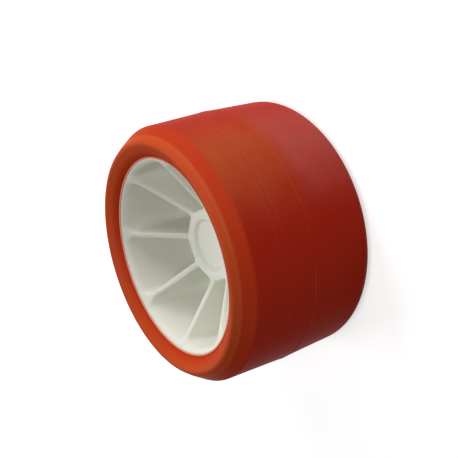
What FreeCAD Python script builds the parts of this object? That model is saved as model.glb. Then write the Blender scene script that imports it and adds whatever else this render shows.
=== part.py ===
import FreeCAD, Part
import math
import os

# Roller in two materials: a ribbed plastic hub with a solid elastomer tread moulded round it.
# Millimetres. The axle runs along Z, the open side of the hub faces +Z, and the origin lies
# on the axis halfway between the two ends of the tread.

# Tread
tread_d = 120.0            # largest diameter, at the parting line
tread_w = 72.4             # overall width
tread_t = 14.75            # thickness of the elastomer between the hub and the largest diameter
parting_z = -2.0           # the mould's parting line lies a little behind the middle
draft_deg = 1.6            # taper of the running surface, each way from the parting line
flash_h = 0.15             # raised line that the mould leaves at the parting line
flash_w = 0.8
chamfer_len = 8.3          # length along the axle from the front end to the running surface
chamfer_deg = 33.0         # slope of the front chamfer against the axle
chamfer_edge_r = 2.0       # rounding where the chamfer meets the running surface
nose_len = 3.2             # length along the axle of the steeper end of the chamfer
nose_deg = 38.0            # slope of that end against the axle
nose_r = 1.5               # rounding of the front end, where the inner slope starts
inner_slope_deg = 27.5     # how the front face falls from there towards the hub
inner_bevel_w = 3.75       # radial width of the steeper bevel next to the hub
rear_bevel_w = 2.75        # radial width of the rear bevel next to the hub
rear_edge_r = 7.5          # rounding of the rear shoulder

# Hub
rim_sink = 4.4             # how far the hub's rims lie inside the ends of the tread
rim_t = 1.8                # thickness of the rim at its open edge
rim_step = 0.5             # ledge between the rim's inner wall and the mouth of a pocket
rib_count = 8
rib_t = 2.6                # thickness of a rib at the rim
rib_end_sink = 1.0         # how far the outer end of a rib lies below the rim
rib_turn_deg = 22.5        # angle of the first rib from +X
rib_foot_r = 2.0           # hollow where a rib's slope starts from the boss's face
mould_draft_deg = 0.75     # taper of every wall that the hub's mould draws from
pocket_outer_fillet = 3.6  # corners of a pocket at the rim
pocket_inner_fillet = 2.4  # corners of a pocket at the boss
web_t = 4.0                # wall between the front and the rear pockets
web_z = -8.0               # middle of that wall

# Boss in the middle of the hub
boss_d = 34.2              # across its two end faces
boss_land = 1.0            # flat between the mouth of a pocket and what rises next to it
boss_sink = 24.9           # how far the closed face lies inside the front end of the tread
boss_rear_sink = 3.4       # how far the open end lies inside the rear end of the tread
dimple_d = 23.8            # shallow recess in the closed face
dimple_depth = 1.6
dimple_floor_fillet = 1.2
end_wall_t = 4.0           # wall that closes the axle bore behind the recess

# Axle bore, open to the rear
bore_d = 22.0
bore_chamfer = 0.8

# Modelling
cut_past = 1.0             # how far a pocket's cutter reaches beyond the end of the tread
same_place = 1e-6          # two points closer than this are one


def vec(x, y, z=0.0):
    return FreeCAD.Vector(x, y, z)


def unit(v):
    return v * (1.0 / v.Length)


def rounded_wire(corners):
    # closed outline in the XY plane, from corners of (x, y, radius), with tangent arcs
    starts = []
    ends = []
    mids = []
    count = len(corners)
    for i, (x, y, radius) in enumerate(corners):
        here = vec(x, y)
        before = vec(*corners[i - 1][:2])
        after = vec(*corners[(i + 1) % count][:2])
        back = unit(before - here)
        ahead = unit(after - here)
        half = back.getAngle(ahead) / 2.0
        reach = radius / math.tan(half) if radius else 0.0
        starts.append(here + back * reach)
        ends.append(here + ahead * reach)
        gap = radius / math.sin(half) - radius if radius else 0.0
        mids.append(here + unit(back + ahead) * gap if radius else here)
    edges = []
    for i, (x, y, radius) in enumerate(corners):
        if radius:
            edges.append(Part.Arc(starts[i], mids[i], ends[i]).toShape())
        following = starts[(i + 1) % count]
        if ends[i].distanceToPoint(following) > same_place:
            edges.append(Part.LineSegment(ends[i], following).toShape())
    return Part.Wire(edges)


def turned(corners):
    # solid of revolution about Z, from an outline of (radius, height, rounding)
    face = Part.Face(rounded_wire(corners))
    face.rotate(vec(0, 0), vec(1, 0), 90)
    return face.revolve(vec(0, 0), vec(0, 0, 1), 360)


half_w = tread_w / 2.0
tread_r = tread_d / 2.0
hub_r = tread_r - tread_t
rim_z = half_w - rim_sink
rim_inner_r = hub_r - rim_t
boss_r = boss_d / 2.0
boss_z = half_w - boss_sink
boss_rear_z = boss_rear_sink - half_w
bore_r = bore_d / 2.0
bore_end_z = boss_z - dimple_depth - end_wall_t
taper = math.tan(math.radians(mould_draft_deg))
rib_start_r = boss_r + boss_land
rib_end_z = rim_z - rib_end_sink
pitch = 2.0 * math.pi / rib_count


def drafted_r(z):
    # radius of the running surface at height z
    return tread_r - abs(z - parting_z) * math.tan(math.radians(draft_deg))


def make_tread():
    shoulder_z = half_w - chamfer_len
    shoulder_r = drafted_r(shoulder_z)
    ridge_z = half_w - nose_len
    ridge_r = shoulder_r - (ridge_z - shoulder_z) * math.tan(math.radians(chamfer_deg))
    # corner between the nose's two slopes, so that its rounding just touches the front end
    inner_slope = math.radians(inner_slope_deg)
    nose_slope = math.radians(90.0 - nose_deg)
    lean = math.cos((nose_slope - inner_slope) / 2.0) / math.cos((nose_slope + inner_slope) / 2.0)
    nose_z = half_w + nose_r * (lean - 1.0)
    nose_top_r = ridge_r - (nose_z - ridge_z) / math.tan(nose_slope)
    bevel_r = hub_r + inner_bevel_w
    half_flash = flash_w / 2.0
    outline = [
        (hub_r, -rim_z, 0),
        (hub_r + rear_bevel_w, -half_w, 0),
        (drafted_r(-half_w), -half_w, rear_edge_r),
        (drafted_r(parting_z - half_flash), parting_z - half_flash, 0),
        (tread_r + flash_h, parting_z, 0),
        (drafted_r(parting_z + half_flash), parting_z + half_flash, 0),
        (shoulder_r, shoulder_z, chamfer_edge_r),
        (ridge_r, ridge_z, 0),
        (nose_top_r, nose_z, nose_r),
        (bevel_r, nose_z - (nose_top_r - bevel_r) * math.tan(inner_slope), 0),
        (hub_r, rim_z, 0),
    ]
    return turned(outline)


def make_hub_blank():
    # the hub before its pockets, with the sloping tops of the ribs as one cone
    dimple_r = dimple_d / 2.0
    dimple_z = boss_z - dimple_depth
    outline = [
        (0, dimple_z, 0),
        (dimple_r, dimple_z, dimple_floor_fillet),
        (dimple_r, boss_z, 0),
        (rib_start_r, boss_z, rib_foot_r),
        (rim_inner_r, rib_end_z, 0),
        (rim_inner_r, rim_z, 0),
        (hub_r, rim_z, 0),
        (hub_r, -rim_z, 0),
        (rim_inner_r, -rim_z, 0),
        (rim_inner_r, -rib_end_z, 0),
        (boss_r - boss_land, -rib_end_z, 0),
        (boss_r - boss_land, boss_rear_z, 0),
        (bore_r + bore_chamfer, boss_rear_z, 0),
        (bore_r, boss_rear_z + bore_chamfer, 0),
        (bore_r, bore_end_z, 0),
        (0, bore_end_z, 0),
    ]
    return turned(outline)


def pocket_corner(hand, centre_r, offset, radius, arc_r):
    # rounded corner between the side of a rib and the boss or the rim
    # as the points where it leaves the rib, its middle and where it meets the other wall
    along = vec(math.cos(pitch / 2.0), hand * math.sin(pitch / 2.0))
    across = vec(math.sin(pitch / 2.0), -hand * math.cos(pitch / 2.0))
    centre = along * math.sqrt(centre_r ** 2 - offset ** 2) + across * offset
    on_rib = centre - across * radius
    on_arc = unit(centre) * arc_r
    middle = centre + unit(on_rib + on_arc - centre * 2.0) * radius
    return [on_rib, middle, on_arc]


def pocket_wire(z, side, boss_end_z):
    # plan of one pocket at height z, centred on +X, every wall drafted and every fillet's
    # centre the same at all heights
    rim_lean = (rim_z - side * z) * taper
    boss_lean = side * (boss_end_z - z) * taper
    inner_r = boss_r + boss_lean
    outer_r = rim_inner_r - rim_step - rim_lean
    inner_fillet = pocket_inner_fillet - boss_lean
    outer_fillet = pocket_outer_fillet - rim_lean
    half_t = rib_t / 2.0 + rim_lean
    low_in, high_in = [
        pocket_corner(hand, inner_r + inner_fillet, half_t + inner_fillet, inner_fillet, inner_r)
        for hand in (-1, 1)
    ]
    low_out, high_out = [
        pocket_corner(hand, outer_r - outer_fillet, half_t + outer_fillet, outer_fillet, outer_r)
        for hand in (-1, 1)
    ]
    curves = [
        Part.LineSegment(low_in[0], low_out[0]),
        Part.Arc(*low_out),
        Part.Arc(low_out[2], vec(outer_r, 0), high_out[2]),
        Part.Arc(*reversed(high_out)),
        Part.LineSegment(high_out[0], high_in[0]),
        Part.Arc(*high_in),
        Part.Arc(high_in[2], vec(inner_r, 0), low_in[2]),
        Part.Arc(*reversed(low_in)),
    ]
    wire = Part.Wire([curve.toShape() for curve in curves])
    wire.translate(vec(0, 0, z))
    return wire


def make_pocket(side, boss_end_z):
    # one pocket as a solid to cut away, from beyond the rim down to the web
    mouth_z = side * (half_w + cut_past)
    floor_z = web_z + side * web_t / 2.0
    mouth = pocket_wire(mouth_z, side, boss_end_z)
    floor = pocket_wire(floor_z, side, boss_end_z)
    return Part.makeLoft([mouth, floor], True, True)


def make_hub():
    hub = make_hub_blank()
    pockets = []
    for side, boss_end_z in ((1, boss_z), (-1, boss_rear_z)):
        pocket = make_pocket(side, boss_end_z)
        for i in range(rib_count):
            copy = pocket.copy()
            copy.rotate(vec(0, 0), vec(0, 0, 1), rib_turn_deg + 360.0 / rib_count * (i + 0.5))
            pockets.append(copy)
    return hub.cut(pockets)


os.makedirs("parts", exist_ok=True)
for name, shape in (("tread", make_tread()), ("hub", make_hub())):
    solid = shape.Solids[0]
    solid.exportStep("parts/" + name + ".step")
    print(name, "solids", len(shape.Solids), "valid", shape.isValid(), "volume", round(shape.Volume))
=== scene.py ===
import math

import bmesh
import bpy
from mathutils import Matrix, Vector


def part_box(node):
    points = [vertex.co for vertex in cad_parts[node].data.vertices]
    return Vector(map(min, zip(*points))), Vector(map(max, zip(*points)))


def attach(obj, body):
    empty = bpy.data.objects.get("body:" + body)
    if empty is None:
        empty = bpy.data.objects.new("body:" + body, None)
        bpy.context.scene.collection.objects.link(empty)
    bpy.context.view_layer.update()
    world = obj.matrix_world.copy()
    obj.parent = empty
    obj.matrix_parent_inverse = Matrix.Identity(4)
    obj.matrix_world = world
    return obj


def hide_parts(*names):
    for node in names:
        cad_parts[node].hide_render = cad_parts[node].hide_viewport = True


bl_info = {
    "name": "Dual-material roller",
    "version": (1, 0, 0),
    "blender": (4, 5, 0),
    "location": "View3D > Sidebar > Roller",
    "description": "Elastomer tread, ribbed plastic hub and a plain studio round the packed roller",
    "category": "Add Mesh",
}

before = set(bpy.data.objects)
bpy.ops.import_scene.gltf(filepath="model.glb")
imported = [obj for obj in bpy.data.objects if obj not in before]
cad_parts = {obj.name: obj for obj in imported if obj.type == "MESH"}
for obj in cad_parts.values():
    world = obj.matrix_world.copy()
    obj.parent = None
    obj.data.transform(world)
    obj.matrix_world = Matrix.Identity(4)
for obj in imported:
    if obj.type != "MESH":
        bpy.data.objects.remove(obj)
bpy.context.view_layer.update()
TREAD_LOW, TREAD_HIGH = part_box("tread")
HUB_LOW, HUB_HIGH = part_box("hub")

MM = 0.001
BODY = "root"
WHITE = (1.0, 1.0, 1.0, 1.0)

# Meshes
WELD = 0.002 * MM          # vertices closer than this are one
SUPPORT = 0.12 * MM        # from a corner to the point that keeps a run beside it flat
LONG_RUN = 8.0 * SUPPORT   # shorter runs need no such points
FINE_R = 0.1 * MM          # rounding of the finest crests
SAME_TURN = 1e-6           # radians below which two directions are one
TREAD_SHARP = 24.0         # degrees from which an edge is shaded sharp
HUB_SHARP = 38.0

# The mix node's colour sockets by number, since its other kinds use the same names
MIX_FIRST, MIX_SECOND, MIX_RESULT = 6, 7, 2

# Camera: its sensor in millimetres, the picture's right and up and the way back to the viewer
# as directions, and its place in metres
SENSOR_WIDTH = 36.0
VIEW_RIGHT = Vector((-0.2982, -0.5010, -0.8124))
VIEW_UP = Vector((0.9545, -0.1565, -0.2538))
VIEW_BACK = Vector((0.0, -0.8512, 0.5249))
VIEW_PLACE = Vector((0.00445, -0.3408, 0.2082))


def length(name, description, default_mm):
    return bpy.props.FloatProperty(
        name=name, description=description, default=default_mm * MM, unit="LENGTH", precision=5)


def angle(name, description, default_deg):
    return bpy.props.FloatProperty(
        name=name, description=description, default=math.radians(default_deg), subtype="ANGLE")


def share(name, description, default):
    return bpy.props.FloatProperty(
        name=name, description=description, default=default, min=0.0, max=1.0, subtype="FACTOR")


def colour(name, description, default):
    return bpy.props.FloatVectorProperty(
        name=name, description=description, default=default, size=4, min=0.0, max=1.0,
        subtype="COLOR")


class TreadSettings(bpy.types.PropertyGroup):
    """Sizes and colours of the elastomer tread"""

    segments: bpy.props.IntProperty(
        name="Segments", description="Steps round the axle", default=320, min=32)
    arc_steps: bpy.props.IntProperty(
        name="Arc steps", description="Steps in each rounding of the section", default=10, min=2)
    parting_z: length("Parting line", "Height of the mould's parting line", -2.0)
    draft: angle("Draft", "Taper of the running surface each way from the parting line", 1.6)
    flash_h: length("Flash height", "How far the parting line stands proud", 0.15)
    flash_w: length("Flash width", "Width of the parting line at its foot", 0.8)
    chamfer_len: length("Chamfer length", "From the front end to the running surface", 8.3)
    chamfer_slope: angle("Chamfer slope", "Slope of the front chamfer against the axle", 33.0)
    chamfer_edge_r: length("Chamfer rounding", "Rounding where the chamfer meets the tread", 2.0)
    nose_len: length("Nose length", "Length of the steeper end of the chamfer", 3.2)
    nose_slope: angle("Nose slope", "Slope of that end against the axle", 38.0)
    nose_r: length("Nose rounding", "Rounding of the front end", 2.1)
    ridge_r: length("Ridge rounding", "Rounding where the chamfer gets steeper", 2.5)
    inner_slope: angle("Inner slope", "How the front face falls towards the hub", 27.5)
    valley_w: length("Valley", "Width of the shallow valley between the hub and the front face", 0.8)
    valley_r: length("Valley rounding", "Rounding of the valley's outer side", 0.4)
    knee_w: length("Knee", "From the hub to where the front face gets less steep", 2.9)
    knee_r: length("Knee rounding", "Rounding where the front face gets less steep", 6.0)
    rear_bevel_w: length("Rear bevel", "Radial width of the rear bevel at the hub", 2.75)
    bevel_edge_r: length("Bevel rounding", "Rounding of the outer edge of each bevel", 1.0)
    rear_edge_r: length("Rear shoulder", "Rounding of the rear shoulder", 7.5)
    groove_place: length("Groove place", "From the hub to the fine groove", 6.0)
    groove_w: length("Groove width", "Width of the fine groove in the front face", 0.6)
    groove_depth: length("Groove depth", "Depth of the fine groove in the front face", 0.05)
    lip_h: length("Lip height", "Height of the thin lip where the elastomer meets the hub", 0.5)
    witness_front: length("Front witness line", "Height of the stronger witness line", 11.4)
    witness_far: length("Second witness line", "Height of the fainter witness line", 14.6)
    witness_rear: length("Rear witness line", "Height of the line behind the parting line", -3.7)
    ring_inner: length("Inner ring", "From the hub to the innermost ring line", 3.9)
    ring_middle: length("Middle ring", "From the hub to the middle ring line", 7.7)
    ring_outer: length("Outer ring", "From the hub to the ring line on the crest", 9.9)
    body_colour: colour("Body", "Colour of the running surface", (0.455, 0.0225, 0.0075, 1.0))
    slope_colour: colour("Chamfer", "Colour of the front chamfer", (0.54, 0.043, 0.0095, 1.0))
    thin_colour: colour("Thin edge", "Where the elastomer is thin", (0.60, 0.077, 0.0165, 1.0))
    # the bloom colour also paints the sheen on the rear half of one side, below
    bloom_and_sheen_colour: colour("Bloom", "Colour of the faint bloom", (0.53, 0.148, 0.130, 1.0))
    bloom_share: share("Bloom amount", "Bloom in the clouds all over the tread", 0.04)
    dust_share: share("Dust", "Bloom in the fine specks", 0.05)
    streak_colour: colour("Streaks", "Colour of the fine rings", (0.30, 0.020, 0.008, 1.0))
    streak_share: share("Streak amount", "How much the fine rings show", 0.11)
    # warm tone and patch settings: a painted sheen, one side of the tread paler and hazier as a
    # broad highlight makes it
    painted_sheen_warm_colour: colour("Warm tone", "Paler side of the front half", (0.485, 0.092, 0.026, 1.0))
    painted_sheen_warm_share: share("Warm amount", "How much the warm tone shows", 0.9)
    painted_sheen_bearing: angle("Patch bearing", "Direction of the side with the most bloom", -58.0)
    painted_sheen_spread: angle("Patch spread", "How far that side reaches each way", 36.0)
    painted_sheen_fade: length("Patch fade", "Scale of the length over which its bloom sets in", 3.0)
    painted_sheen_clouds: share("Patch clouds", "How uneven that side is", 0.6)
    # the lip colour is partly the paler thin flash over the white hub and partly a painted highlight
    # along that edge
    lip_and_highlight_colour: colour("Lip", "Colour of the thin lip at the hub", (0.90, 0.42, 0.30, 1.0))
    lip_and_highlight_share: share("Lip amount", "How much the lip's colour shows", 0.9)
    roughness: share("Roughness", "Roughness of the satin surface", 0.46)
    rough_swing: share("Roughness swing", "Roughness that the clouds add", 0.07)
    gloss: share("Gloss", "Specular level of the surface", 0.015)
    skin_strength: share("Skin strength", "Strength of the surface's fine relief", 0.14)
    skin_depth: length("Skin depth", "Depth of the surface's fine relief", 0.1)


class HubSettings(bpy.types.PropertyGroup):
    """Sizes and colours of the moulded hub"""

    ribs: bpy.props.IntProperty(name="Ribs", description="Number of ribs", default=8, min=3)
    rib_turn: angle("First rib", "Angle of the first rib from +X", 22.5)
    rib_t: length("Rib thickness", "Thickness of a rib at the rim", 2.6)
    rib_end_sink: length("Rib end", "How far a rib's outer end lies below the rim", 1.0)
    rib_foot_r: length("Rib foot", "Hollow where a rib's slope starts", 2.0)
    rim_t: length("Rim thickness", "Thickness of the rim at its open edge", 1.8)
    rim_step: length("Rim step", "Ledge between the rim's wall and a pocket", 0.5)
    edge_r: length("Edge rounding", "Rounding of the edges of ribs and boss", 1.15)
    rim_round: length("Rim rounding", "Rounding between a front pocket's wall and the rim", 1.8)
    rim_r: length("Rim crest", "Rounding where the ribs' slope ends at the top of the rim", 0.6)
    rim_edge_r: length("Rim edges", "Rounding of the rim's other edges", 0.15)
    rear_round: length("Rear rounding", "Rounding between a rear pocket's wall and the rim", 0.45)
    bond_gap: length("Bond gap", "Keeps the hub's wall just clear of the tread's", 0.01)
    recess_r: length("Recess rounding", "Rounding of the edge of the recess in the boss", 1.1)
    draft: angle("Draft", "Taper of the moulded walls", 0.75)
    outer_fillet: length("Outer fillet", "Corners of a pocket at the rim", 3.6)
    inner_fillet: length("Inner fillet", "Corners of a pocket at the boss", 2.4)
    floor_fillet: length("Floor fillet", "Fillet round a pocket's floor", 2.2)
    front_floor: length("Front floor", "Height of the front pockets' floor", -6.0)
    rear_floor: length("Rear floor", "Height of the rear pockets' floor", -10.0)
    boss_d: length("Boss diameter", "Across the boss's end faces", 34.2)
    boss_land: length("Boss land", "Flat between a pocket and what rises next to it", 1.0)
    boss_z: length("Boss face", "Height of the closed face of the boss", 11.3)
    dimple_d: length("Recess diameter", "Across the shallow recess in the boss", 23.8)
    dimple_depth: length("Recess depth", "Depth of that recess", 1.6)
    dimple_fillet: length("Recess fillet", "Fillet round the recess's floor", 1.7)
    dimple_land: length("Recess land", "From the recess's wall to where its rounding is over", 1.4)
    bore_d: length("Bore", "Diameter of the axle bore", 22.0)
    bore_chamfer: length("Bore chamfer", "Chamfer at the mouth of the bore", 0.8)
    bore_end: length("Bore end", "Height of the closed end of the bore", 5.7)
    gate_place: length("Gate place", "How far from the axle one rib carries the gate mark", 37.5)
    gate_d: length("Gate mark", "Diameter of the gate mark", 0.7)
    gate_colour: colour("Gate colour", "Colour of the gate mark", (0.56, 0.55, 0.49, 1.0))
    body_colour: colour("Body", "Colour of the moulded plastic", (0.885, 0.89, 0.80, 1.0))
    shade_colour: colour("Shade", "Slightly darker cloud in the plastic", (0.835, 0.84, 0.75, 1.0))
    veil_share: share("Shade amount", "How much the darker clouds show", 0.5)
    roughness: share("Roughness", "Roughness of the moulded plastic", 0.42)
    rough_swing: share("Roughness swing", "Roughness that the clouds add", 0.06)
    gloss: share("Gloss", "Specular level of the plastic", 0.1)
    glow: share("Glow", "Share of the light that scatters below the skin", 0.12)
    glow_depth: length("Glow depth", "How far that light gets", 1.0)
    skin_strength: share("Skin strength", "Strength of the plastic's fine relief", 0.12)
    skin_depth: length("Skin depth", "Depth of the plastic's fine relief", 0.08)


class StageSettings(bpy.types.PropertyGroup):
    """Floor, light and camera"""

    floor_size: length("Floor", "Side of the square floor", 6000.0)
    floor_colour: colour("Floor colour", "Colour of the floor", (0.75, 0.75, 0.75, 1.0))
    floor_lift: share("Floor lift", "White added to the floor where the camera sees it", 0.64)
    near_floor: length("Near floor", "How far out the floor shows its shadows in full", 300.0)
    far_floor: length("Far floor", "From where the floor is plain white", 900.0)
    world_level: share("Sky level", "Strength of the even light from all round", 0.0)
    lamp_reach: length("Lamp reach", "Distance of every lamp", 900.0)
    lamp_size: length("Lamp size", "Side of each square lamp", 380.0)
    lamp_level: bpy.props.FloatProperty(
        name="Lamp level", description="Factor on the power of all the lamps", default=1.02)
    lens: bpy.props.FloatProperty(
        name="Lens", description="Focal length on a 36 mm sensor", default=67.37)


def polar(radius, turn, height):
    return Vector((radius * math.cos(turn), radius * math.sin(turn), height))


def rounded(corners, steps):
    """Section through corners of (radius, height, rounding), as a list of (radius, height)."""
    points = []
    count = len(corners)
    for i, (r, z, rounding) in enumerate(corners):
        here = Vector((r, z))
        if rounding <= 0.0:
            points.append(here)
            continue
        back = (Vector(corners[i - 1][:2]) - here).normalized()
        ahead = (Vector(corners[(i + 1) % count][:2]) - here).normalized()
        half = back.angle(ahead) / 2.0
        reach = rounding / math.tan(half)
        centre = here + (back + ahead).normalized() * (rounding / math.sin(half))
        start = here + back * reach - centre
        end = here + ahead * reach - centre
        for step in range(steps + 1):
            points.append(centre + turned_between(start, end, step / steps))
    return points


def with_supports(points):
    """The same section with a point close to each end of its long runs, so that they shade flat."""
    dense = []
    for here, following in zip(points, points[1:] + points[:1]):
        dense.append(here)
        run = (following - here).length
        if run > LONG_RUN:
            dense.append(here.lerp(following, SUPPORT / run))
            dense.append(following.lerp(here, SUPPORT / run))
    return dense


def turned_between(start, end, t):
    """A vector turned part of the way from start to end, both of the same length."""
    full = start.angle(end)
    if full < SAME_TURN:
        return start.copy()
    return (start * math.sin((1.0 - t) * full) + end * math.sin(t * full)) / math.sin(full)


def finish_mesh(bm, name, sharp_deg):
    """Turns a bmesh into a smooth-shaded object in the scene."""
    bmesh.ops.remove_doubles(bm, verts=bm.verts, dist=WELD)
    bmesh.ops.recalc_face_normals(bm, faces=bm.faces)
    mesh = bpy.data.meshes.new(name)
    bm.to_mesh(mesh)
    bm.free()
    mesh.shade_smooth()
    mesh.set_sharp_from_angle(angle=math.radians(sharp_deg))
    obj = bpy.data.objects.new(name, mesh)
    bpy.context.scene.collection.objects.link(obj)
    return obj


def add_strip(bm, rings):
    """Quads between closed rings of vertices."""
    for here, following in zip(rings, rings[1:]):
        count = len(here)
        for j in range(count):
            k = (j + 1) % count
            bm.faces.new((here[j], here[k], following[k], following[j]))


def tread_section(s):
    """Section of the tread, closed, with its groove, its lips and its parting line."""
    half_w = TREAD_HIGH.z
    tread_r = min(TREAD_HIGH.x, -TREAD_LOW.x) - s.flash_h
    hub_r = HUB_HIGH.x
    rim_z = HUB_HIGH.z
    taper = math.tan(s.draft)

    def drafted(z):
        return tread_r - abs(z - s.parting_z) * taper

    shoulder_z = half_w - s.chamfer_len
    ridge_z = half_w - s.nose_len
    ridge_r = drafted(shoulder_z) - (ridge_z - shoulder_z) * math.tan(s.chamfer_slope)
    steep = math.radians(90.0) - s.nose_slope
    lean = math.cos((steep - s.inner_slope) / 2.0) / math.cos((steep + s.inner_slope) / 2.0)
    nose_z = half_w + s.nose_r * (lean - 1.0)
    nose_top_r = ridge_r - (nose_z - ridge_z) / math.tan(steep)
    half_flash = s.flash_w / 2.0

    def on_face(r, sink=0.0):
        return (r, nose_z - (nose_top_r - r) * math.tan(s.inner_slope) - sink, 0.0)

    groove_r = hub_r + s.groove_place
    corners = [
        (hub_r, s.lip_h - rim_z, 0.0),
        (hub_r, -rim_z - s.lip_h, FINE_R),
        (hub_r + s.lip_h, -rim_z - s.lip_h, 0.0),
        (hub_r + s.rear_bevel_w, -half_w, s.bevel_edge_r),
        (drafted(-half_w), -half_w, s.rear_edge_r),
        (drafted(s.parting_z - half_flash), s.parting_z - half_flash, 0.0),
        (tread_r + s.flash_h, s.parting_z, FINE_R),
        (drafted(s.parting_z + half_flash), s.parting_z + half_flash, 0.0),
        (drafted(shoulder_z), shoulder_z, s.chamfer_edge_r),
        (ridge_r, ridge_z, s.ridge_r),
        (nose_top_r, nose_z, s.nose_r),
        on_face(groove_r + s.groove_w / 2.0),
        on_face(groove_r, s.groove_depth),
        on_face(groove_r - s.groove_w / 2.0),
        (*on_face(hub_r + s.knee_w)[:2], s.knee_r),
        (hub_r + s.valley_w, rim_z, s.valley_r),
        (hub_r + s.lip_h, rim_z + s.lip_h, 0.0),
        (hub_r, rim_z + s.lip_h, FINE_R),
        (hub_r, rim_z - s.lip_h, 0.0),
    ]
    return with_supports(rounded(corners, s.arc_steps))


def build_tread(s):
    section = tread_section(s)
    bm = bmesh.new()
    rings = []
    for i in range(s.segments):
        turn = 2.0 * math.pi * i / s.segments
        rings.append([bm.verts.new(polar(r, turn, z)) for r, z in section])
    add_strip(bm, rings + rings[:1])
    return finish_mesh(bm, "tread_body", TREAD_SHARP)


class Pocket:
    """Plan of one pocket of the hub, centred on +X, with its cell between two ribs."""

    SIDE_STEPS = 18
    CORNER_STEPS = 8
    OUTER_STEPS = 14
    INNER_STEPS = 8
    ROUND_STEPS = 5
    FLOOR_STEPS = 7
    LAND_PARTS = (1.0, 0.66, 0.33)  # rings between the mouth and the cell's boundary
    CELL_HEIGHT = 0.7               # height, in half hubs, at which the cell is laid out

    def __init__(self, s, side, boss_end, rim_round, cell_inner_r, cell_outer_r):
        self.s = s
        self.side = side
        self.boss_end = boss_end
        self.rim_round = rim_round
        self.rim_z = HUB_HIGH.z
        self.rim_inner_r = HUB_HIGH.x - s.rim_t
        self.cell_inner_r = cell_inner_r
        self.cell_outer_r = cell_outer_r
        self.half_pitch = math.pi / s.ribs
        self.nominal = self.CELL_HEIGHT * self.rim_z * side
        self.marks = self.plan()

    def plan(self):
        """Places round the outline as (kind, side of the pocket, share of the way)."""
        def steps(kind, hand, count, forward=True):
            shares = [i / count for i in range(count)]
            return [(kind, hand, t if forward else 1.0 - t) for t in shares]

        return (
            steps("rib", -1, self.SIDE_STEPS)
            + steps("outer", -1, self.CORNER_STEPS)
            + steps("rim", 1, self.OUTER_STEPS)
            + steps("outer", 1, self.CORNER_STEPS, False)
            + steps("rib", 1, self.SIDE_STEPS, False)
            + steps("inner", 1, self.CORNER_STEPS)
            + steps("boss", 1, self.INNER_STEPS, False)
            + steps("inner", -1, self.CORNER_STEPS, False)
        )

    def corner(self, hand, outer, height):
        """Centre and radius of a corner's fillet, and the directions along and across its rib."""
        s = self.s
        lean = math.tan(s.draft)
        rim_lean = (self.rim_z - self.side * height) * lean
        boss_lean = self.side * (self.boss_end - height) * lean
        half_t = s.rib_t / 2.0 + rim_lean
        along = Vector((math.cos(self.half_pitch), hand * math.sin(self.half_pitch)))
        across = Vector((math.sin(self.half_pitch), -hand * math.cos(self.half_pitch)))
        if outer:
            radius = s.outer_fillet - rim_lean
            reach = self.rim_inner_r - s.rim_step - rim_lean - radius
        else:
            radius = s.inner_fillet - boss_lean
            reach = s.boss_d / 2.0 + boss_lean + radius
        offset = half_t + radius
        centre = along * math.sqrt(reach ** 2 - offset ** 2) + across * offset
        return centre, radius, along, across

    def rounding(self, mark):
        """Size of the mouth's rounding there, which differs between the ribs and the rim."""
        kind, _, t = mark
        at_rim = 1.0 if kind == "rim" else t if kind == "outer" else 0.0
        return self.s.edge_r + (self.rim_round - self.s.edge_r) * at_rim

    def wall(self, mark, height, grow):
        """Point of the outline at a height, with the pocket grown by an offset."""
        kind, hand, t = mark
        outer = kind in ("outer", "rim")
        centre, radius, _, across = self.corner(hand, outer, height)
        if kind == "rib":
            far, far_radius, _, _ = self.corner(hand, True, height)
            near_point = centre - across * (radius + grow)
            far_point = far - across * (far_radius + grow)
            return near_point.lerp(far_point, t)
        if kind == "outer":
            turn = turned_between(-across, centre.normalized(), t)
            return centre + turn * (radius + grow)
        if kind == "inner":
            turn = turned_between(-across, -centre.normalized(), t)
            return centre + turn * (radius + grow)
        edge = math.atan2(centre.y, centre.x)
        turn = edge * (2.0 * t - 1.0)
        reach = centre.length + (radius + grow if outer else -radius - grow)
        return Vector((math.cos(turn), math.sin(turn))) * reach

    def cell(self, mark, height, grow):
        """Point on the cell's own boundary that an outline point runs out to."""
        kind, hand, t = mark
        outer = kind in ("outer", "rim")
        centre, _, along, _ = self.corner(hand, outer, height)
        if kind == "rib":
            return along * self.wall(mark, height, grow).dot(along)
        limit = self.cell_outer_r if outer else self.cell_inner_r
        edge = math.atan2(abs(centre.y), centre.x)
        if kind in ("rim", "boss"):
            turn = edge * (2.0 * t - 1.0)
        elif t <= 0.5:
            start = centre.dot(along)
            return along * (start + (limit - start) * 2.0 * t)
        else:
            turn = hand * (self.half_pitch + (edge - self.half_pitch) * (2.0 * t - 1.0))
        return Vector((math.cos(turn), math.sin(turn))) * limit


def front_top(s, radius):
    """Height at a radius of the boss's face, of the ribs' sloping tops and of the rim."""
    start = s.boss_d / 2.0 + s.boss_land
    slope = (HUB_HIGH.z - s.rib_end_sink - s.boss_z) / (HUB_HIGH.x - s.rim_t - start)
    tilt = math.atan(slope)
    foot = s.rib_foot_r * math.tan(tilt / 2.0)
    if radius <= start - foot:
        return s.boss_z
    if radius < start + foot * math.cos(tilt):
        ahead = radius - (start - foot)
        return s.boss_z + s.rib_foot_r - math.sqrt(s.rib_foot_r ** 2 - ahead ** 2)
    head = start + (HUB_HIGH.z - s.boss_z) / slope
    ahead = head + s.rim_r * math.tan(tilt / 2.0) - radius
    if ahead <= 0.0:
        return HUB_HIGH.z
    if ahead < s.rim_r * math.sin(tilt):
        return HUB_HIGH.z - s.rim_r + math.sqrt(s.rim_r ** 2 - ahead ** 2)
    return s.boss_z + (radius - start) * slope


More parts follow.
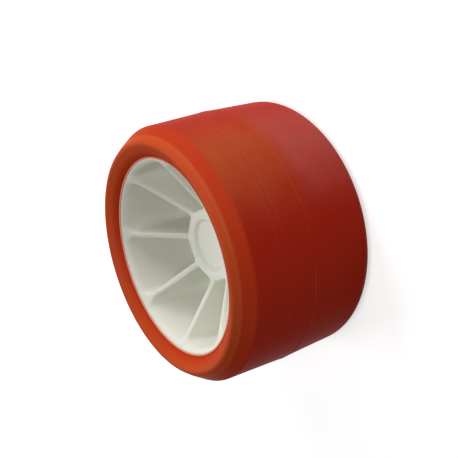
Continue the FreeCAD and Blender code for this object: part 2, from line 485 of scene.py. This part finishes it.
def pocket_rings(s, pocket, top, floor_z):
    """Rings of points from the cell's boundary over the mouth and down to the pocket's floor."""
    side = pocket.side
    rings = []
    for part in pocket.LAND_PARTS:
        ring = []
        for mark in pocket.marks:
            inner = mouth_point(pocket, top, mark, pocket.rounding(mark))
            outer = pocket.cell(mark, pocket.nominal, s.edge_r)
            at = Vector(inner[:2]).lerp(outer, part)
            ring.append(Vector((at.x, at.y, top(at.length))))
        rings.append(ring)
    for step in range(pocket.ROUND_STEPS + 1):
        turn = 0.5 * math.pi * step / pocket.ROUND_STEPS
        ring = []
        for mark in pocket.marks:
            edge_r = pocket.rounding(mark)
            point = mouth_point(pocket, top, mark, edge_r * (1.0 - math.sin(turn)))
            point.z -= side * edge_r * (1.0 - math.cos(turn))
            ring.append(point)
        rings.append(ring)
    for step in range(pocket.FLOOR_STEPS + 1):
        turn = 0.5 * math.pi * step / pocket.FLOOR_STEPS
        height = floor_z + side * s.floor_fillet * (1.0 - math.sin(turn))
        grow = -s.floor_fillet * (1.0 - math.cos(turn))
        ring = []
        for mark in pocket.marks:
            at = pocket.wall(mark, height, grow)
            ring.append(Vector((at.x, at.y, height)))
        rings.append(ring)
    return rings


def mouth_point(pocket, top, mark, grow):
    """Point of the pocket's wall, grown by an offset, on the surface that the pocket is cut in."""
    at = pocket.wall(mark, pocket.nominal, grow)
    for _ in range(2):
        at = pocket.wall(mark, top(at.length), grow)
    return Vector((at.x, at.y, top(at.length)))


def circle_turns(pocket, kinds):
    """Angles of the cell's points on one of its circles, from low to high."""
    turns = []
    for mark in pocket.marks:
        if mark[0] not in kinds or (mark[0] in ("outer", "inner") and mark[2] < 0.5):
            continue
        at = pocket.cell(mark, pocket.nominal, pocket.s.edge_r)
        turns.append(math.atan2(at.y, at.x))
    return sorted(turns)


def add_turned(bm, pocket, kinds, path, cap):
    """Surface of revolution that shares the cell's angles, along a path of (radius, height)."""
    s = pocket.s
    turns = []
    for i in range(s.ribs):
        base = s.rib_turn + 2.0 * math.pi * (i + 0.5) / s.ribs
        for turn in circle_turns(pocket, kinds):
            if not turns or base + turn - turns[-1] > SAME_TURN:
                turns.append(base + turn)
    if turns[-1] - turns[0] > 2.0 * math.pi - SAME_TURN:
        turns.pop()
    rings = [[bm.verts.new(polar(r, turn, z)) for turn in turns] for r, z in path]
    add_strip(bm, rings)
    if cap:
        bm.faces.new(rings[-1])


def arc_path(centre_r, centre_z, radius, start_deg, end_deg, steps=6):
    """Arc in a section, as (radius, height) points."""
    points = []
    for step in range(steps + 1):
        turn = math.radians(start_deg + (end_deg - start_deg) * step / steps)
        points.append((centre_r + radius * math.cos(turn), centre_z + radius * math.sin(turn)))
    return points


def build_hub(s):
    half_z = HUB_HIGH.z
    hub_r = HUB_HIGH.x - s.bond_gap
    rim_r = HUB_HIGH.x - s.rim_t
    rib_end = half_z - s.rib_end_sink
    boss_rear_z = HUB_LOW.z
    tube_r = s.boss_d / 2.0 - s.boss_land
    edge = s.edge_r
    dimple_r = s.dimple_d / 2.0
    dimple_z = s.boss_z - s.dimple_depth
    land_r = dimple_r + s.dimple_land
    small = s.rim_edge_r
    bm = bmesh.new()

    front = Pocket(s, 1, s.boss_z, s.rim_round, land_r, hub_r - small)
    rear = Pocket(s, -1, boss_rear_z, s.rear_round, tube_r, rim_r)
    sides = (
        (front, lambda radius: front_top(s, radius), s.front_floor),
        (rear, lambda radius: -rib_end, s.rear_floor),
    )
    for pocket, top, floor_z in sides:
        plan = pocket_rings(s, pocket, top, floor_z)
        for i in range(s.ribs):
            turn = Matrix.Rotation(s.rib_turn + 2.0 * math.pi * (i + 0.5) / s.ribs, 3, "Z")
            rings = [[bm.verts.new(turn @ point) for point in ring] for ring in plan]
            add_strip(bm, rings)
            bm.faces.new(rings[-1])

    rim_path = (
        arc_path(hub_r - small, half_z - small, small, 90.0, 0.0, 3)
        + arc_path(hub_r - small, small - half_z, small, 0.0, -90.0, 3)
        + arc_path(rim_r + small, small - half_z, small, -90.0, -180.0, 3)
        + [(rim_r, -rib_end)]
    )
    add_turned(bm, front, ("outer", "rim"), rim_path, False)

    # the recess's wall is an S of two arcs, half its depth each
    upper = math.acos(1.0 - 0.5 * s.dimple_depth / s.recess_r)
    lower = math.acos(1.0 - 0.5 * s.dimple_depth / s.dimple_fillet)
    dimple_path = (
        [(land_r, s.boss_z)]
        + arc_path(dimple_r + s.recess_r * math.sin(upper), s.boss_z - s.recess_r, s.recess_r,
                   90.0, 90.0 + math.degrees(upper))
        + arc_path(dimple_r - s.dimple_fillet * math.sin(lower), dimple_z + s.dimple_fillet,
                   s.dimple_fillet, math.degrees(lower) - 90.0, -90.0)[1:]
        + [(0.5 * dimple_r, dimple_z)]
    )
    add_turned(bm, front, ("inner", "boss"), dimple_path, True)

    bore_r = s.bore_d / 2.0
    chamfer = s.bore_chamfer
    tube_path = (
        [(tube_r, -rib_end)]
        + arc_path(tube_r - edge, boss_rear_z + edge, edge, 0.0, -90.0)
        + [(bore_r + chamfer, boss_rear_z), (bore_r, boss_rear_z + chamfer), (bore_r, s.bore_end)]
    )
    add_turned(bm, rear, ("inner", "boss"), tube_path, True)
    return finish_mesh(bm, "hub_body", HUB_SHARP)


def new_group(name, inputs, outputs):
    """Shader group with float sockets. Returns its tree, what it is given and what it results in."""
    tree = bpy.data.node_groups.new(name, "ShaderNodeTree")
    for label, value in inputs.items():
        socket = tree.interface.new_socket(name=label, in_out="INPUT", socket_type="NodeSocketFloat")
        socket.default_value = value
    for label in outputs:
        tree.interface.new_socket(name=label, in_out="OUTPUT", socket_type="NodeSocketFloat")
    given = tree.nodes.new("NodeGroupInput").outputs
    result = tree.nodes.new("NodeGroupOutput").inputs
    return tree, given, result


def feed(tree, node, inputs):
    """Links or sets a node's inputs, by name or number."""
    for key, value in inputs.items():
        if isinstance(value, bpy.types.NodeSocket):
            tree.links.new(value, node.inputs[key])
        else:
            node.inputs[key].default_value = value


def add_node(tree, kind, inputs, **values):
    """New node, with its properties by name and its inputs linked or set."""
    node = tree.nodes.new(kind)
    for key, value in values.items():
        setattr(node, key, value)
    feed(tree, node, inputs)
    return node


def add_math(tree, operation, *values):
    """Math node on sockets or numbers. This and the next ones return the node's output."""
    return add_node(tree, "ShaderNodeMath", dict(enumerate(values)), operation=operation).outputs[0]


def add_product(tree, first, *others):
    for value in others:
        first = add_math(tree, "MULTIPLY", first, value)
    return first


def add_sum(tree, first, *others):
    for value in others:
        first = add_math(tree, "ADD", first, value)
    return first


def add_opposite(tree, mask):
    """What a mask leaves over."""
    return add_math(tree, "SUBTRACT", 1.0, mask)


def add_ramp(tree, value, low, high):
    """Smooth step of a value between two limits."""
    inputs = {"Value": value, "From Min": low, "From Max": high}
    node = add_node(tree, "ShaderNodeMapRange", inputs, interpolation_type="SMOOTHSTEP")
    return node.outputs["Result"]


def add_mix(tree, factor, first, second):
    """Colour mix."""
    inputs = {"Factor": factor, MIX_FIRST: first, MIX_SECOND: second}
    return add_node(tree, "ShaderNodeMix", inputs, data_type="RGBA").outputs[MIX_RESULT]


def add_bump(tree, height, strength, depth):
    """Normal of a surface with a fine relief."""
    inputs = {"Height": height, "Strength": strength, "Distance": depth}
    return add_node(tree, "ShaderNodeBump", inputs).outputs["Normal"]


def add_place(tree):
    """Place on the object, in its own coordinates."""
    return add_node(tree, "ShaderNodeTexCoord", {}).outputs["Object"]


def add_split(tree):
    """X, Y and Z of that place."""
    return tuple(add_node(tree, "ShaderNodeSeparateXYZ", {0: add_place(tree)}).outputs)


def add_radius(tree, x, y):
    """Distance from the axle."""
    return add_math(tree, "SQRT", add_sum(tree, add_product(tree, x, x), add_product(tree, y, y)))


def add_distance(tree, point):
    """Distance from a point."""
    inputs = {0: add_place(tree), 1: point}
    return add_node(tree, "ShaderNodeVectorMath", inputs, operation="DISTANCE").outputs["Value"]


def add_noise(tree, vector, scale, detail, roughness=0.5):
    inputs = {"Vector": vector, "Scale": scale, "Detail": detail, "Roughness": roughness}
    return add_node(tree, "ShaderNodeTexNoise", inputs).outputs["Fac"]


def make_grain_group(name):
    """Fine moulded skin: a height from two sizes of noise."""
    tree, given, result = new_group(name, {"Scale": 900.0, "Coarse": 120.0}, ["Height"])
    place = add_place(tree)
    fine = add_noise(tree, place, given["Scale"], detail=3.0, roughness=0.6)
    wide = add_noise(tree, place, given["Coarse"], detail=2.0)
    height = add_sum(tree, add_product(tree, fine, 0.4), add_product(tree, wide, 0.6))
    tree.links.new(height, result["Height"])
    return tree


def make_cloud_group(name):
    """Uneven tone: a mask of soft clouds."""
    tree, given, result = new_group(name, {"Scale": 30.0, "Low": 0.35, "High": 0.7}, ["Mask"])
    noise = add_noise(tree, add_place(tree), given["Scale"], detail=4.0, roughness=0.55)
    tree.links.new(add_ramp(tree, noise, given["Low"], given["High"]), result["Mask"])
    return tree


def make_place_group(name):
    """Height along the axle and distance from it, in metres."""
    tree, _, result = new_group(name, {}, ["Height", "Radius"])
    x, y, z = add_split(tree)
    tree.links.new(z, result["Height"])
    tree.links.new(add_radius(tree, x, y), result["Radius"])
    return tree


def make_painted_sheen_group(name):
    """Soft mask of the side of the part that faces one bearing, where a sheen is painted."""
    tree, given, result = new_group(name, {"Bearing": 0.0, "Spread": 0.6}, ["Mask"])
    x, y, _ = add_split(tree)
    turn = add_math(tree, "SUBTRACT", add_math(tree, "ARCTAN2", y, x), given["Bearing"])
    away = add_math(tree, "DIVIDE", add_math(tree, "ABSOLUTE", turn), given["Spread"])
    tree.links.new(add_ramp(tree, add_opposite(tree, away), 0.0, 1.0), result["Mask"])
    return tree


def make_line_group(name):
    """A faint line round the part where a value is met, stronger here and weaker there."""
    tree, given, result = new_group(name, {"Value": 0.0, "At": 0.0, "Width": 0.0004}, ["Mask"])
    miss = add_math(tree, "ABSOLUTE", add_math(tree, "SUBTRACT", given["Value"], given["At"]))
    near = add_opposite(tree, add_math(tree, "DIVIDE", miss, given["Width"]))
    noise = add_noise(tree, add_place(tree), 24.0, detail=3.0)
    mask = add_product(tree, add_math(tree, "MAXIMUM", near, 0.0), add_ramp(tree, noise, 0.3, 0.6))
    tree.links.new(mask, result["Mask"])
    return tree


def make_ring_group(name):
    """Faint rings round the axle, as a mould or a lathe leaves them."""
    tree, given, result = new_group(name, {"Scale": 700.0, "Wander": 0.02}, ["Height"])
    x, y, z = add_split(tree)
    join = add_node(tree, "ShaderNodeCombineXYZ", {
        "X": add_product(tree, x, given["Wander"]),
        "Y": add_sum(tree, z, add_radius(tree, x, y)),
        "Z": add_product(tree, y, given["Wander"]),
    })
    noise = add_noise(tree, join.outputs[0], given["Scale"], detail=2.0, roughness=0.7)
    tree.links.new(noise, result["Height"])
    return tree


def shared_groups():
    """The effects that the materials share, each built once."""
    kinds = {
        "grain": ("moulded_grain", make_grain_group),
        "cloud": ("colour_cloud", make_cloud_group),
        "rings": ("axle_rings", make_ring_group),
        "line": ("witness_line", make_line_group),
        "place": ("axle_place", make_place_group),
        "painted_sheen_patch": ("painted_sheen_side", make_painted_sheen_group),
    }
    return {key: bpy.data.node_groups.get(name) or make(name) for key, (name, make) in kinds.items()}


def new_material(name):
    """Material with its tree and its Principled shader."""
    material = bpy.data.materials.new(name)
    material.use_nodes = True
    tree = material.node_tree
    return material, tree, tree.nodes["Principled BSDF"]


def add_group(tree, group, **values):
    """A shared effect, with its inputs by their names in small letters. Returns its outputs."""
    inputs = {key.capitalize(): value for key, value in values.items()}
    return add_node(tree, "ShaderNodeGroup", inputs, node_tree=group).outputs


def tread_material(s, groups):
    """Satin elastomer: deep red body, orange where thin, faint bloom, painted sheen on one side,
    painted shade by the hub.
    """
    material, tree, shader = new_material("satin_elastomer")
    place = add_group(tree, groups["place"])
    cloud = add_group(tree, groups["cloud"], scale=26.0, low=0.3, high=0.75)["Mask"]
    speck = add_group(tree, groups["cloud"], scale=420.0, low=0.62, high=0.8)["Mask"]
    rings = add_group(tree, groups["rings"], scale=620.0)["Height"]
    grain = add_group(tree, groups["grain"], scale=1400.0, coarse=240.0)["Height"]
    half_w = TREAD_HIGH.z
    hub_r = HUB_HIGH.x

    def change(measure, start, step, first, last):
        """Mask that sets in between two places, each so many steps from a start."""
        return add_ramp(tree, place[measure], start + first * step, start + last * step)

    # where the masks set in
    slope = change("Height", half_w, -s.chamfer_len, 1.1, 0.85)
    face = change("Height", half_w, -s.nose_len, 1.12, 0.88)
    # painted shade: next to the hub the front face keeps the deeper body colour, standing in for the
    # shade in the corner against the hub
    outside_painted_hub_shade = change("Radius", hub_r, s.knee_w, 0.0, 2.0)
    # painted sheen: on the patch's side the rear half takes the bloom colour and the front half the
    # warm tone
    rear = change("Height", s.parting_z, s.painted_sheen_fade, 1.0, -4.0)
    front = add_product(tree, add_opposite(tree, rear), add_opposite(tree, slope))
    # lip: paler thin flash, and partly a painted highlight along the hub's edge
    lip = change("Radius", hub_r, s.lip_h, 1.5, 1.1)
    painted_sheen_patch = add_group(tree, groups["painted_sheen_patch"], bearing=s.painted_sheen_bearing, spread=s.painted_sheen_spread)["Mask"]
    uneven = add_sum(tree, add_product(tree, cloud, s.painted_sheen_clouds), 1.0 - s.painted_sheen_clouds)
    uneven_painted_sheen = add_product(tree, painted_sheen_patch, uneven)
    streaks = add_ramp(tree, rings, 0.5, 0.68)

    # lines: what they are measured by, their place, their width in flash widths and strength
    marks = (
        ("Height", s.parting_z, 0.35, 0.40),
        ("Height", s.witness_rear, 0.30, 0.12),
        ("Height", s.witness_front, 0.40, 0.22),
        ("Height", s.witness_far, 0.50, 0.12),
        ("Radius", hub_r + s.ring_inner, 0.45, 0.14),
        ("Radius", hub_r + s.ring_middle, 0.45, 0.24),
        ("Radius", hub_r + s.ring_outer, 0.50, 0.22),
    )
    lines = []
    for measure, at, width, strength in marks:
        line = add_group(tree, groups["line"], value=place[measure], at=at, width=width * s.flash_w)
        lines.append(add_product(tree, line["Mask"], strength))

    layers = [
        (slope, s.slope_colour),
        (add_product(tree, face, outside_painted_hub_shade), s.thin_colour),
        # the next two layers are the painted sheen on the patch's side
        (add_product(tree, uneven_painted_sheen, front, s.painted_sheen_warm_share), s.painted_sheen_warm_colour),
        (add_product(tree, uneven_painted_sheen, rear), s.bloom_and_sheen_colour),
        (add_product(tree, cloud, s.bloom_share), s.bloom_and_sheen_colour),
        (add_product(tree, streaks, s.streak_share), s.streak_colour),
        (add_product(tree, speck, s.dust_share), s.bloom_and_sheen_colour),
        *((line, s.bloom_and_sheen_colour) for line in lines),
        (add_product(tree, lip, s.lip_and_highlight_share), s.lip_and_highlight_colour),
    ]
    tone = s.body_colour
    for mask, over in layers:
        tone = add_mix(tree, mask, tone, over)

    skin = add_sum(tree, add_product(tree, rings, 0.5), add_product(tree, grain, 0.5))
    skin = add_sum(tree, skin, add_sum(tree, *lines))
    feed(tree, shader, {
        "Base Color": tone,
        "Roughness": add_sum(tree, add_product(tree, cloud, s.rough_swing), s.roughness),
        "Normal": add_bump(tree, skin, s.skin_strength, s.skin_depth),
        "Specular IOR Level": s.gloss,
    })
    return material


def hub_material(s, groups):
    """Ivory moulded plastic with a fine skin, a barely uneven tone and the gate mark."""
    material, tree, shader = new_material("ivory_moulded_plastic")
    cloud = add_group(tree, groups["cloud"], scale=34.0, low=0.35, high=0.8)["Mask"]
    flow = add_group(tree, groups["rings"], scale=240.0)["Height"]
    grain = add_group(tree, groups["grain"], scale=1500.0, coarse=420.0)["Height"]
    tone = add_mix(tree, add_product(tree, cloud, s.veil_share), s.body_colour, s.shade_colour)

    gate_turn = s.rib_turn + math.radians(90.0)
    gate_point = polar(s.gate_place, gate_turn, front_top(s, s.gate_place))
    gate = add_ramp(tree, add_distance(tree, gate_point), 0.6 * s.gate_d, 0.3 * s.gate_d)
    tone = add_mix(tree, gate, tone, s.gate_colour)

    skin = add_sum(tree, add_product(tree, flow, 0.3), add_product(tree, grain, 0.7))
    feed(tree, shader, {
        "Base Color": tone,
        "Roughness": add_sum(tree, add_product(tree, cloud, s.rough_swing), s.roughness),
        "Normal": add_bump(tree, skin, s.skin_strength, s.skin_depth),
        "Specular IOR Level": s.gloss,
        "Subsurface Weight": s.glow,
        "Subsurface Radius": (1.2, 1.0, 0.8),
        "Subsurface Scale": s.glow_depth,
    })
    return material


def add_seen(tree):
    """1 where the camera looks at the surface or sees it in a gloss or through something clear."""
    path = add_node(tree, "ShaderNodeLightPath", {}).outputs
    seen = add_math(tree, "MAXIMUM", path["Is Camera Ray"], path["Is Glossy Ray"])
    return add_math(tree, "MAXIMUM", seen, path["Is Transmission Ray"])


def floor_material(s):
    """Plain pale floor that reads white under the camera and still takes a shadow."""
    material, tree, shader = new_material("pale_floor")
    away = add_distance(tree, (0.0, 0.0, 0.0))
    far = add_ramp(tree, away, s.near_floor, s.far_floor)
    lift = add_sum(tree, add_product(tree, far, 1.0 - s.floor_lift), s.floor_lift)
    feed(tree, shader, {
        "Base Color": s.floor_colour,
        "Roughness": 0.9,
        "Specular IOR Level": 0.1,
        "Emission Color": WHITE,
        "Emission Strength": add_product(tree, add_seen(tree), lift),
    })
    return material


def build_world(s):
    """White sky for the camera, with its own level for the light it gives."""
    world = bpy.data.worlds.new("even_sky")
    world.use_nodes = True
    tree = world.node_tree
    seen = add_node(tree, "ShaderNodeLightPath", {}).outputs["Is Camera Ray"]
    light = add_product(tree, add_opposite(tree, seen), s.world_level)
    feed(tree, tree.nodes["Background"], {"Color": WHITE, "Strength": add_sum(tree, seen, light)})
    bpy.context.scene.world = world


def add_camera(s):
    data = bpy.data.cameras.new("camera")
    data.lens = s.lens
    data.sensor_width = SENSOR_WIDTH
    camera = bpy.data.objects.new("camera", data)
    turn = Matrix((VIEW_RIGHT, VIEW_UP, VIEW_BACK)).transposed().to_4x4()
    camera.matrix_world = Matrix.Translation(VIEW_PLACE) @ turn
    bpy.context.scene.collection.objects.link(camera)
    bpy.context.scene.camera = camera


def add_area(name, place, size, power):
    """Soft square lamp that points at the roller."""
    data = bpy.data.lights.new(name, "AREA")
    data.shape = "SQUARE"
    data.size = size
    data.energy = power
    lamp = bpy.data.objects.new(name, data)
    lamp.location = place
    lamp.rotation_mode = "QUATERNION"
    lamp.rotation_quaternion = (-place).to_track_quat("-Z", "Y")
    bpy.context.scene.collection.objects.link(lamp)


def add_lamps(s):
    """Five soft lamps, each by its bearing round the axle, its elevation and its power."""
    lamps = (
        ("key_lamp", 0.0, 14.0, 3.15),
        ("low_lamp", 320.0, 14.0, 1.7),
        ("high_lamp", 0.0, 38.0, 1.35),
        ("back_lamp", 90.0, 36.0, 2.7),
        ("top_lamp", 265.0, 62.0, 2.6),
    )
    for name, bearing, elevation, power in lamps:
        rise = math.radians(elevation)
        place = polar(math.cos(rise), math.radians(bearing), math.sin(rise)) * s.lamp_reach
        add_area(name, place, s.lamp_size, power * s.lamp_level)


def build_floor(s):
    half = s.floor_size / 2.0
    mesh = bpy.data.meshes.new("floor")
    corners = [(-half, -half, 0.0), (half, -half, 0.0), (half, half, 0.0), (-half, half, 0.0)]
    mesh.from_pydata(corners, [], [(0, 1, 2, 3)])
    floor = bpy.data.objects.new("floor", mesh)
    floor.location.z = TREAD_LOW.z
    bpy.context.scene.collection.objects.link(floor)
    mesh.materials.append(floor_material(s))


class ROLLER_OT_tread(bpy.types.Operator):
    """Build the elastomer tread in place of the plain solid"""

    bl_idname = "roller.tread"
    bl_label = "Build tread"

    def execute(self, context):
        s = context.scene.roller_tread
        tread = build_tread(s)
        tread.data.materials.append(tread_material(s, shared_groups()))
        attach(tread, BODY)
        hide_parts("tread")
        return {"FINISHED"}


class ROLLER_OT_hub(bpy.types.Operator):
    """Build the ribbed hub in place of the plain solid"""

    bl_idname = "roller.hub"
    bl_label = "Build hub"

    def execute(self, context):
        s = context.scene.roller_hub
        hub = build_hub(s)
        hub.data.materials.append(hub_material(s, shared_groups()))
        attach(hub, BODY)
        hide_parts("hub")
        return {"FINISHED"}


class ROLLER_OT_stage(bpy.types.Operator):
    """Set up the floor, the light and the camera"""

    bl_idname = "roller.stage"
    bl_label = "Set stage"

    def execute(self, context):
        s = context.scene.roller_stage
        build_world(s)
        build_floor(s)
        add_camera(s)
        add_lamps(s)
        return {"FINISHED"}


class ROLLER_PT_panel(bpy.types.Panel):
    """Panel that lists the roller's steps"""

    bl_label = "Roller"
    bl_space_type = "VIEW_3D"
    bl_region_type = "UI"
    bl_category = "Roller"

    def draw(self, context):
        for step in STEPS:
            self.layout.operator(step.bl_idname)


STEPS = (ROLLER_OT_tread, ROLLER_OT_hub, ROLLER_OT_stage)
SETTINGS = {"roller_tread": TreadSettings, "roller_hub": HubSettings, "roller_stage": StageSettings}


def register():
    for kind in (*SETTINGS.values(), *STEPS, ROLLER_PT_panel):
        bpy.utils.register_class(kind)
    for name, kind in SETTINGS.items():
        setattr(bpy.types.Scene, name, bpy.props.PointerProperty(type=kind))


def unregister():
    for name in SETTINGS:
        delattr(bpy.types.Scene, name)
    for kind in (ROLLER_PT_panel, *reversed(STEPS), *reversed(SETTINGS.values())):
        bpy.utils.unregister_class(kind)


def main():
    register()
    bpy.context.scene.view_settings.view_transform = "Standard"
    bpy.ops.roller.tread()
    bpy.ops.roller.hub()
    bpy.ops.roller.stage()


if __name__ == "__main__":
    main()
